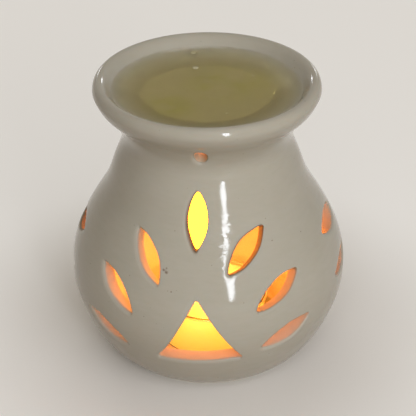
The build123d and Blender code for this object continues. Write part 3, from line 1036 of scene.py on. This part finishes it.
lean = add_node(tree, "ShaderNodeMath", {0: square.outputs[0], 1: given["Bend Rate"]}, operation="MULTIPLY")
sideways = add_node(tree, "ShaderNodeMath", {0: 0.0, 1: lean.outputs[0]}, operation="SUBTRACT")
bend = add_node(tree, "ShaderNodeCombineXYZ", {0: sideways.outputs[0]})
bent = add_node(tree, "GeometryNodeSetPosition", {"Geometry": stood.outputs[0], "Offset": bend.outputs[0]})
finish_tree(tree, bent.outputs[0], cotton)
wick = shaped(new_piece("wick_place", [(0, 0, 0)], [], [cotton]), "braided_wick", tree, {
    "Strands": strand_count, "Strand Radius": strand_radius, "Braid Radius": braid_radius, "Turns": braid_turns,
    "Length": wick_length - 2 * strand_radius, "Foot": (*cup_centre, wick_bottom + strand_radius),
    "Bend Height": bend_height, "Bend Rate": bend_rate,
})
weld(wick)
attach(wick, "tealight")
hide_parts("wick")


# Wax
# Paraffin poured into the cup. The burning wick has melted its top into a clear pool, which climbs the cup's wall and
# the wick a little.
wax_low, wax_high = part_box("wax")
wax_bottom = wax_low.z
wax_top = wax_high.z
wax_radius = 17.92 * mm
wax_climb = 0.35 * mm
climb_at_cup = 0.7 * mm
climb_at_wick = 0.6 * mm
wick_reach = 0.85 * mm
wax_round = 0.3 * mm
wax_clear = 0.05 * mm
wax_rows = 12
wax_columns = 160
pool_level = wax_top - wax_climb
wax_radii = np.concatenate([np.linspace(0, 3, 16), np.linspace(3.6, 14.5, 14), np.linspace(15, 17.9, 20)]) * mm
wax_tops = (
    pool_level
    + wax_climb * np.exp((wax_radii - wax_radius) / climb_at_cup)
    + wax_climb * np.exp(-np.maximum(wax_radii - wick_reach, 0) / climb_at_wick)
)
wax_floor = wax_bottom + wax_clear
wax_wall = np.stack([
    np.full(wax_rows, wax_radius), np.linspace(wax_top - wax_round, wax_floor + wax_round + wax_clear, wax_rows),
], 1)
wax_foot = round_corner((wax_radius - wax_round, wax_floor + wax_round), wax_round, 0, -90, 5)
wax_profile = np.concatenate([np.stack([wax_radii, wax_tops], 1), wax_wall, wax_foot, [[0, wax_floor]]])

# Paraffin wax, molten on top: milky, with the flame's light through it painted on as a glow that is stronger higher up
# and on its sides. Shows a wet shine with no grain.
milk_size = 6 * mm
wet_wave_height = 0.03 * mm
lit_low, lit_high = 1 * mm, 14 * mm
paraffin, tree, where = new_material("paraffin_wax")
milk, cream = mottled(tree, where, milk_size, 2.0, "#F5E9C2", "#ECDEB2")
wet = add_node(tree, "ShaderNodeBump", {"Height": milk, "Distance": wet_wave_height})
height = add_node(tree, "ShaderNodeSeparateXYZ", {0: where})
# Painted glow from the flame: stronger higher up, and stronger on the sides than on the top
lit = add_node(tree, "ShaderNodeMapRange", {0: height.outputs[2], 1: lit_low, 2: lit_high, 3: 0.6, 4: 1.5})
facing = add_node(tree, "ShaderNodeSeparateXYZ", {0: add_node(tree, "ShaderNodeNewGeometry").outputs["Normal"]})
sideways = add_node(tree, "ShaderNodeMapRange", {0: facing.outputs[2], 1: 0.7, 2: 0.1, 3: 0.06, 4: 1.0})
painted_glow = add_node(tree, "ShaderNodeMath", {0: lit.outputs[0], 1: sideways.outputs[0]}, operation="MULTIPLY")
waxy = add_node(tree, "ShaderNodeBsdfPrincipled", {
    "Base Color": cream, "Roughness": 0.07, "IOR": 1.43, "Subsurface Weight": 0.6,
    "Subsurface Radius": (1.0, 0.6, 0.35), "Subsurface Scale": 4 * mm, "Normal": wet.outputs[0],
    "Emission Color": linear("#FFCB45"), "Emission Strength": painted_glow.outputs[0],
})
add_node(tree, "ShaderNodeOutputMaterial", {"Surface": waxy.outputs[0]})
wax = new_piece("wax_fill", *turned(wax_profile, wax_columns, cup_centre), [paraffin])
weld(wax)
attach(wax, "tealight")
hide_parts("wax")


# Flame
# The candle's flame: a bright yellow body over a faint blue foot round the wick. It stands on the tealight, leans a
# little with the draught, and casts no shadow.
flame_bottom = 16.6 * mm
flame_top = 56.5 * mm
flame_widths = [
    (0.0, 0.0), (0.03, 0.28), (0.08, 0.45), (0.18, 0.64), (0.32, 0.82), (0.46, 0.95), (0.58, 1.0), (0.7, 0.95),
    (0.8, 0.8), (0.88, 0.58), (0.95, 0.3), (1.0, 0.0),
]
flame_radius = 4.5 * mm
flame_lean = 4.9 * mm
lean_growth = 1.3
flame_rows = 44
flame_columns = 40
flame_shift = 0.5 * mm
flame_foot = (cup_centre[0] - flame_shift, cup_centre[1])
foot_fade_low, foot_fade_high = 19 * mm, 24 * mm

heights = np.linspace(0, 1, flame_rows)
widths = np.interp(heights, *zip(*flame_widths)) * flame_radius
widths[1:-1] = np.convolve(widths, (0.25, 0.5, 0.25), "same")[1:-1]
flame_profile = np.stack([widths, flame_bottom + heights * (flame_top - flame_bottom)], 1)
flame_points, flame_faces = turned(flame_profile, flame_columns, flame_foot)
rise = (flame_points[:, 2] - flame_bottom) / (flame_top - flame_bottom)
flame_points[:, 0] -= flame_lean * np.sin(rise * math.pi / 2) ** lean_growth

# Burning wax vapour: gives light and casts no shadow. Shows full yellow in the middle and thins at its edge and foot.
vapour, tree, where = new_material("candle_flame")
height = add_node(tree, "ShaderNodeSeparateXYZ", {0: where})
foot_share = add_node(tree, "ShaderNodeMapRange", {0: height.outputs[2], 1: foot_fade_low, 2: foot_fade_high},
                      interpolation_type="SMOOTHSTEP")
burning = add_node(tree, "ShaderNodeMix", {
    0: foot_share.outputs[0], 6: linear("#273561"), 7: linear("#FF971A"),
}, data_type="RGBA")
glow = add_node(tree, "ShaderNodeEmission", {"Color": burning.outputs[2], "Strength": 15.0})
thin = add_node(tree, "ShaderNodeBsdfTransparent")
edge = add_node(tree, "ShaderNodeLayerWeight", {"Blend": 0.5})
thinning = add_node(tree, "ShaderNodeMapRange", {0: edge.outputs["Facing"], 1: 0.62, 2: 1.0, 3: 1.0, 4: 0.1})
foot_thin = add_node(tree, "ShaderNodeMapRange", {0: foot_share.outputs[0], 3: 0.45, 4: 1.0})
body_share = add_node(tree, "ShaderNodeMath", {0: thinning.outputs[0], 1: foot_thin.outputs[0]}, operation="MULTIPLY")
fire = add_node(tree, "ShaderNodeMixShader", {0: body_share.outputs[0], 1: thin.outputs[0], 2: glow.outputs[0]})
add_node(tree, "ShaderNodeOutputMaterial", {"Surface": fire.outputs[0]})
flame = new_piece("flame", flame_points, flame_faces, [vapour])
weld(flame)
flame.visible_shadow = False
flame.visible_diffuse = False
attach(flame, "tealight")

# The flame's light on the pot round it, from its lower and its upper half
candle_colour = linear("#FF933F")[:3]
candle_softness = 1.5 * mm
for name, height, power in (("candle_light_low", 27 * mm, 0.043), ("candle_light_high", 47 * mm, 0.05)):
    candle = bpy.data.lights.new(name, "POINT")
    candle.shadow_soft_size = candle_softness
    candle.energy = power
    candle.color = candle_colour
    candle_light = bpy.data.objects.new(name, candle)
    candle_light.location = (flame_foot[0] - flame_lean * height / flame_top, flame_foot[1], height)
    scene.collection.objects.link(candle_light)
